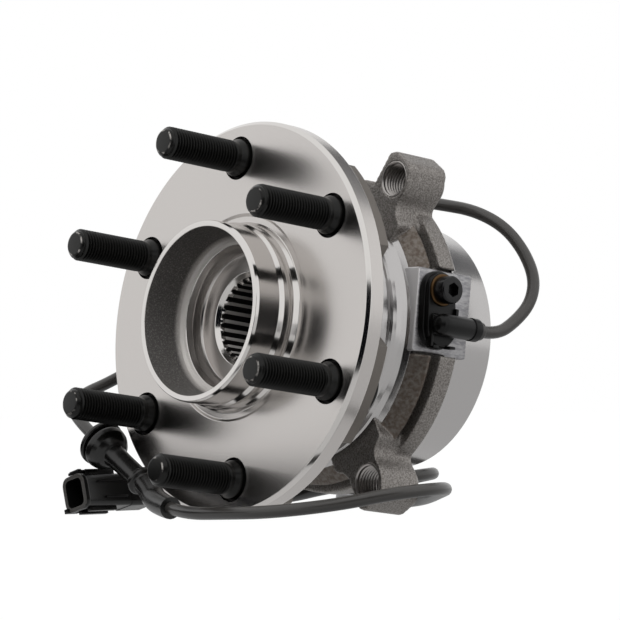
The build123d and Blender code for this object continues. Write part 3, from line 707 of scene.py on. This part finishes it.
# The faced front side is cut finer and looks paler.
faced_iron, tree, shader = new_finish("faced_iron", "#D2D0D0", 0.35, 0.40)
add_grain(tree, shader, 0.6, 0.02)
shape = box_shape((50, pad_y[0], pad_z[0]), (pad_x, pad_y[1], pad_z[1]), soften=0.9,
                  segments=3)
pad = shape_to_object("sensor_pad", shape)
bore = rod_along_x("pad_bore", sensor_y, sensor_z, sensor_bore_r, 40, 66)
use_boolean(pad, bore, "DIFFERENCE")
use_boolean(pad, rod_along_x("bolt_bore", bolt_y, bolt_z, 3.05, 48, 66), "DIFFERENCE")
pad.data.materials.clear()
pad.data.materials.append(milled_iron)
pad.data.materials.append(faced_iron)
for face in pad.data.polygons:
    if face.normal.y < -0.7:
        face.material_index = 1
pad.data.set_sharp_from_angle(angle=math.radians(50))
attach(pad, "carrier")

# Tapped ear holes: an M14 x 1.5 thread through each ear for the bolts that hold the unit,
# with a countersunk mouth on both faces.
tapped_profile = [(7.25, 0.0), (7.1, 0.12), (6.35, 0.62), (6.35, 0.80), (7.1, 1.38),
                  (7.25, 1.5)]
tapped_steps = 32
tapped_turns = 13
shape = bmesh.new()
for x, z in ear_places:
    wall = spin_outline("wall", [
        (8.3, ear_front_y + 0.25), (7.5, ear_front_y + 0.02), (7.0, ear_front_y + 0.5),
        (7.0, mount_y - 1.0), (8.0, mount_y + 0.02), (8.3, mount_y + 0.02)],
        soften=0, steps=64)
    ridge = thread_ridge(tapped_profile, ear_front_y + 0.6, thread_pitch, tapped_steps,
                         tapped_turns)
    bmesh.ops.recalc_face_normals(ridge, faces=ridge.faces)
    bmesh.ops.reverse_faces(ridge, faces=ridge.faces)
    for piece in (wall, ridge):
        bmesh.ops.translate(piece, verts=piece.verts, vec=(x * mm, 0, z * mm))
        add_shape(shape, piece)

# Freshly cut iron: each rib catches a bright line.
tapped_iron, tree, shader = new_finish("tapped_iron", "#A6A29F", 0.95, 0.30)
add_grain(tree, shader, 0.5, 0.02)
ear_threads = shape_to_object("ear_threads", shape, tapped_iron)
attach(ear_threads, "carrier")


# Speed sensor: glass-filled black plastic, with a plate on the pad, a tower over the
# probe and an elbow along the unit that ends in a stepped cap.

# Glass-filled plastic: black, with a weak broad sheen.
sensor_black, tree, shader = new_finish("glass_filled_plastic", "#060606", 0.0, 0.34)
shader.inputs["Specular IOR Level"].default_value = 0.25
add_grain(tree, shader, 0.4, 0.012)
plate_top_x = 67.0
elbow_x = 71.0
elbow_z = 3.0
elbow_end_y = 74.3


def turn_to(shape, origin, direction):
    """Moves a shape spun round Y so that its axis runs through origin along direction."""
    turn = Vector((0, 1, 0)).rotation_difference(Vector(direction)).to_matrix().to_4x4()
    shape.transform(Matrix.Translation(Vector(origin) * mm) @ turn)
    return shape


def merged(name, shapes, *finishes, sharp=32):
    """One object made of several finished shapes."""
    whole = bmesh.new()
    for shape in shapes:
        add_shape(whole, shape)
    return shape_to_object(name, whole, *finishes, sharp=sharp)


def lobed_plate(low_x, high_x, low_r, tip_r, soften):
    """A plate round the probe and the bolt, as the hull of two circles."""
    shape = bmesh.new()
    rim = [(sensor_y + low_r * math.sin(t * math.tau / 64),
            sensor_z + low_r * math.cos(t * math.tau / 64)) for t in range(64)]
    rim += [(bolt_y + tip_r * math.sin(t * math.tau / 64),
             bolt_z + tip_r * math.cos(t * math.tau / 64)) for t in range(64)]
    for x in (low_x, high_x):
        for y, z in rim:
            shape.verts.new((x * mm, y * mm, z * mm))
    hull = bmesh.ops.convex_hull(shape, input=shape.verts)
    bmesh.ops.delete(shape, geom=hull["geom_interior"], context="VERTS")
    bmesh.ops.dissolve_limit(shape, angle_limit=math.radians(1), verts=shape.verts,
                             edges=shape.edges)
    top = [e for e in shape.edges if all(abs(v.co.x - high_x * mm) < 1e-6 for v in e.verts)]
    bmesh.ops.bevel(shape, geom=top, offset=soften * mm, affect="EDGES", segments=4,
                    profile=0.5, material=-1)
    return shape


tower = bmesh.new()
bmesh.ops.create_cube(tower, size=1.0)
for corner in tower.verts:
    top = corner.co.x > 0
    corner.co.x = (elbow_x + 0.5 if top else plate_top_x - 0.3) * mm
    corner.co.y = (sensor_y + (4.6 if top else 7.2) * (1 if corner.co.y > 0 else -1)) * mm
    corner.co.z = (elbow_z + (3.4 if top else 5.0) * (1 if corner.co.z > 0 else -1)) * mm
bmesh.ops.bevel(tower, geom=tower.edges[:], offset=0.9 * mm, affect="EDGES", segments=3,
                profile=0.5, material=-1)
elbow = turn_to(spin_outline("elbow", [
    (0, -7.8), (1.5, -7.6), (2.9, -6.9), (4.0, -5.7), (4.6, -4.0), (4.7, -2.5), (4.7, 11.2),
    (4.5, 11.35), (4.5, 11.65),
    (5.0, 11.8), (5.0, 15.4), (4.6, 15.8), (0, 15.8)], soften=0.12, steps=96, closed=False),
    (elbow_x, sensor_y, elbow_z), (0, 1, 0))
probe = turn_to(spin_outline("probe", [(0, 41.3), (7.6, 41.3), (8.4, 42.1), (8.4, 54.98),
                                       (6.86, 54.98), (6.86, 57.02), (8.4, 57.02), (8.4, 62.2),
                                       (0, 62.2)], soften=0, steps=96, closed=False),
                (0, sensor_y, sensor_z), (1, 0, 0))
sensor_plate = shape_to_object("sensor_plate", lobed_plate(62, plate_top_x, 8.5, 7.6, 0.6))
bore = rod_along_x("bush_bore", bolt_y, bolt_z, 6.95, 60, 70)
use_boolean(sensor_plate, bore, "DIFFERENCE")
whole = bmesh.new()
whole.from_mesh(sensor_plate.data)
bpy.data.objects.remove(sensor_plate)
pieces = [whole, tower, elbow, probe, lobed_plate(62, 65.0, 9.6, 8.2, 0.5)]
# Four small clips stand on the plate round the tower.
for low, high in (((64, 51.6, -6.4), (68.2, 53.0, 6.5)), ((64, 53.0, -7.0), (68.4, 56.2, -5.6)),
                  ((64, 62.4, -6.4), (68.6, 65.6, -5.2)), ((64, 64.4, 5.6), (68.4, 66.0, 11.0))):
    pieces.append(box_shape(low, high, soften=0.3))
sensor_body = merged("speed_sensor", pieces, sensor_black)
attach(sensor_body, "carrier")
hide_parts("sensor_body")

# Sleeve where the cable leaves the elbow: a short ring of the jacket's own rubber that
# fills the elbow's end.
sleeve = shape_to_object("elbow_sleeve", turn_to(
    spin_outline("sleeve", [(0, 0), (4.0, 0), (4.0, 2.2), (3.5, 2.9), (2.75, 3.1), (0, 3.1)],
                 soften=0.2, steps=96, closed=False),
    (elbow_x, elbow_end_y, elbow_z), (0, 1, 0)), jacket)
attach(sleeve, "carrier")
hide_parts("cable_sleeve")

# Bushing: a turned brass ring pressed into the plate. The bolt head rests on it, so that
# it can't crush the plastic.

# Turned brass: brown, painted dark for the plate's shade on it, with a low shine.
brass, tree, shader = new_finish("turned_brass", "#59432A", 0.9, 0.42)
add_grain(tree, shader, 0.3, 0.006)
bushing = shape_to_object("bolt_bushing", turn_to(
    spin_outline("bushing", [(3.3, 62), (6.9, 62), (6.9, 67.6), (6.5, 68), (3.3, 68)],
                 soften=0.12, steps=96), (0, bolt_y, bolt_z), (1, 0, 0)), brass)
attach(bushing, "carrier")
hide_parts("sensor_bushing")

# Sensor bolt: an M6 socket screw of hardened steel, through the bushing into the pad. Its
# head has a six-sided socket.

# Black oxide: a thin oiled film, nearly black, with a clear shine.
oxide, tree, shader = new_finish("black_oxide", "#0E0E0F", 0.3, 0.26)
add_grain(tree, shader, 0.35, 0.01)
bolt = shape_to_object("socket_bolt", turn_to(
    spin_outline("bolt", [(0, 50), (2.4, 50), (3.0, 50.6), (3.0, 68), (5.9, 68), (5.9, 73.3),
                          (5.3, 74), (0, 74)], soften=0.2, steps=96, closed=False),
    (0, bolt_y, bolt_z), (1, 0, 0)))
socket = rod_along_x("socket", bolt_y, bolt_z, 3.2, 70.8, 80, sides=6)
use_boolean(bolt, socket, "DIFFERENCE")
bolt.data.materials.clear()
bolt.data.materials.append(oxide)
bolt.data.set_sharp_from_angle(angle=math.radians(32))
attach(bolt, "carrier")
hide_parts("sensor_bolt")

# Panel grommet: one moulded rubber piece with two thin discs that clip a panel between
# them, a soft cone, and a tube with a collar near its end.

# Moulded rubber: black and smooth from the mould, with broad soft highlights.
moulded_rubber, tree, shader = new_finish("moulded_rubber", "#141312", 0.0, 0.25)
shader.inputs["Specular IOR Level"].default_value = 0.5
add_grain(tree, shader, 0.8, 0.012)
grommet_start = (-74.5, -10, -54.8)
grommet_axis = (0.878, 0.04, -0.478)
grommet = shape_to_object("panel_grommet", turn_to(spin_outline("grommet", [
    (0, 0), (7.9, 0), (9.6, 0.4), (10.5, 1.3), (10.5, 2.7), (10.1, 3.2), (7.6, 3.4),
    (7.4, 4.6), (9.3, 4.8), (10.1, 5.3), (10.1, 6.2), (9.7, 8.2), (8.5, 10.4), (7.2, 12.0),
    (6.2, 12.8), (5.3, 13.1), (5.0, 16), (4.8, 21), (4.8, 33.4), (5.2, 33.9), (6.1, 34.1),
    (6.4, 34.6), (6.4, 35.9), (6.1, 36.5), (4.9, 36.9), (4.8, 38), (0, 38)], soften=0.25,
    steps=120, closed=False), grommet_start, grommet_axis), moulded_rubber, sharp=40)
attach(grommet, "carrier")
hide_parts("cable_grommet")

# Cable boot: a moulded bend of the same rubber as the grommet. It goes on from the tube,
# swells a little at the turn and ends round the cable.
boot_d = 9.2 * mm
boot_route = [
    (-41.15, -8.48, -72.95), (-36.76, -8.28, -75.34), (-30.5, -9.5, -81), (-14, -14, -83.4)]
boot = cable_curve("cable_boot_bend", boot_route, boot_d, moulded_rubber,
                   (1.08, 1.12, 1.15, 1.04), steps=24, round_steps=8)
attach(boot, "carrier")
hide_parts("cable_boot")

# Connector: a two-way housing with a rounded open mouth, a latch tongue on its upper
# side, rails below, and a round tail that grips the cable.

# Moulded nylon: black, with a clear but weak shine.
plug_black, tree, shader = new_finish("moulded_nylon", "#0B0B0B", 0.0, 0.30)
shader.inputs["Specular IOR Level"].default_value = 0.35
add_grain(tree, shader, 0.6, 0.008)
# The rim of the mouth is rubbed grey by the plugs that were pushed into it.
rubbed_nylon, tree, shader = new_finish("rubbed_nylon_rim", "#4E4C4A", 0.0, 0.42)
add_grain(tree, shader, 0.5, 0.02)
plug_mouth = Vector((-79.5, -17, -78.7))
plug_axis = Vector((0.03, -0.99, -0.125)).normalized()
plug_x = Vector((0.965, 0, 0.263))
plug_x = (plug_x - plug_axis * plug_x.dot(plug_axis)).normalized()
plug_y = plug_axis.cross(plug_x)
plug_place = Matrix.Translation(plug_mouth * mm) @ Matrix(
    (plug_x, plug_y, plug_axis)).transposed().to_4x4()


def rounded_loop(shape, width, height, corner, z):
    """A ring of points round a rectangle with rounded corners."""
    ring = []
    for side_x, side_y, start in ((1, 1, 0), (-1, 1, 90), (-1, -1, 180), (1, -1, 270)):
        for step in range(9):
            turn = math.radians(start + step * 90 / 8)
            ring.append(shape.verts.new((
                (side_x * (width / 2 - corner) + corner * math.cos(turn)) * mm,
                (side_y * (height / 2 - corner) + corner * math.sin(turn)) * mm, z * mm)))
    return ring


# From the floor of the mouth out over its rim, and back along the housing to its end.
shape = bmesh.new()
loops = [rounded_loop(shape, *sizes) for sizes in (
    (10.8, 11.8, 2.2, -13), (11.0, 12.0, 2.3, -0.6), (11.3, 12.3, 2.5, -0.15),
    (12.2, 13.0, 2.9, 0), (14.9, 15.5, 4.0, 0), (15.3, 15.9, 4.2, -0.4),
    (15.3, 15.9, 4.2, -2.0), (14.4, 15.2, 3.4, -2.6), (13.6, 14.6, 2.8, -3.2),
    (13.6, 14.6, 2.2, -26), (14.2, 15.2, 2.4, -26.4), (14.2, 15.2, 2.4, -38.8),
    (13.0, 14.0, 2.6, -40))]
shape.faces.new(loops[0])
shape.faces.new(loops[-1])
for ring, after in zip(loops, loops[1:]):
    for i in range(len(ring)):
        j = (i + 1) % len(ring)
        shape.faces.new((ring[i], ring[j], after[j], after[i]))
bmesh.ops.recalc_face_normals(shape, faces=shape.faces)
pieces = [shape]
# Latch tongue, its lip and guides, the rails below, the ribs on the side, and the foot.
for low, high in (
        ((-3.5, 8.4, -20), (3.5, 9.7, -1)), ((-3.5, 7.2, -20), (3.5, 9.0, -16.5)),
        ((-3.2, 8.4, -3.5), (3.2, 10.2, -1.6)), ((-5.2, 7.0, -20), (-4.4, 9.6, -4)),
        ((4.4, 7.0, -20), (5.2, 9.6, -4)), ((-4.3, -9.0, -19), (-2.1, -7.0, -4)),
        ((2.1, -9.0, -19), (4.3, -7.0, -4)), ((6.4, -4.0, -24), (7.4, -3.0, -12)),
        ((6.4, 3.4, -25), (7.3, 4.2, -9)), ((-7.4, -7.8, -5.5), (-5.1, -5.8, 1.4))):
    pieces.append(box_shape(low, high, soften=0.25))
tail = turn_to(spin_outline("tail", [(0, 39), (6.6, 39), (6.6, 41.6), (6.2, 42), (5.0, 46.6),
                                     (5.0, 49.6), (4.6, 50), (0, 50)], soften=0.2, steps=96,
                            closed=False), (0, 0, 0), (0, 0, -1))
pieces.append(tail)
housing = merged("connector_body", pieces, plug_black, rubbed_nylon)
for face in housing.data.polygons:
    if abs(face.center.z) < 0.3 * mm and max(abs(face.center.x), abs(face.center.y)) > 5 * mm:
        face.material_index = 1
housing.data.transform(plug_place)
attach(housing, "carrier")
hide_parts("connector_housing")

# Inside of the bearing, and the plug's pins: these keep their solid shapes. Balls and
# races are hardened steel, the cages and seals are moulded, and the pins are stamped.

# Lapped ball steel: a clear mirror.
ball_steel, tree, shader = new_finish("lapped_ball_steel", "#D6D5D3", 1.0, 0.08)
add_grain(tree, shader, 0.4, 0.002)
# Ground race steel: bright, drawn fine round the ring.
race_steel, tree, shader = new_finish("ground_race_steel", "#B9B5B0", 1.0, 0.22)
add_grain(tree, shader, 0.3, 0.006, stretch=(1, 4, 1))
# Cage nylon: cream-coloured and waxy.
cage_nylon, tree, shader = new_finish("cage_nylon", "#C9BFA2", 0.0, 0.45)
add_grain(tree, shader, 0.5, 0.01)
# Nitrile rubber: black and matt.
seal_rubber, tree, shader = new_finish("nitrile_seal", "#1B1B1B", 0.0, 0.55)
add_grain(tree, shader, 0.4, 0.015)
# Tinned copper: pale and soft in its shine.
tinned, tree, shader = new_finish("tinned_terminal", "#C9C9C4", 1.0, 0.28)
add_grain(tree, shader, 0.3, 0.004)
for finish, names in (
        (ball_steel, ("balls_outboard", "balls_inboard")),
        (race_steel, ("inner_ring", "tone_ring")),
        (cage_nylon, ("cage_outboard", "cage_inboard")),
        (seal_rubber, ("outboard_seal", "inboard_seal", "sensor_o_ring")),
        (tinned, ("connector_pin_1", "connector_pin_2"))):
    for name in names:
        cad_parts[name].data.materials.clear()
        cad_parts[name].data.materials.append(finish)
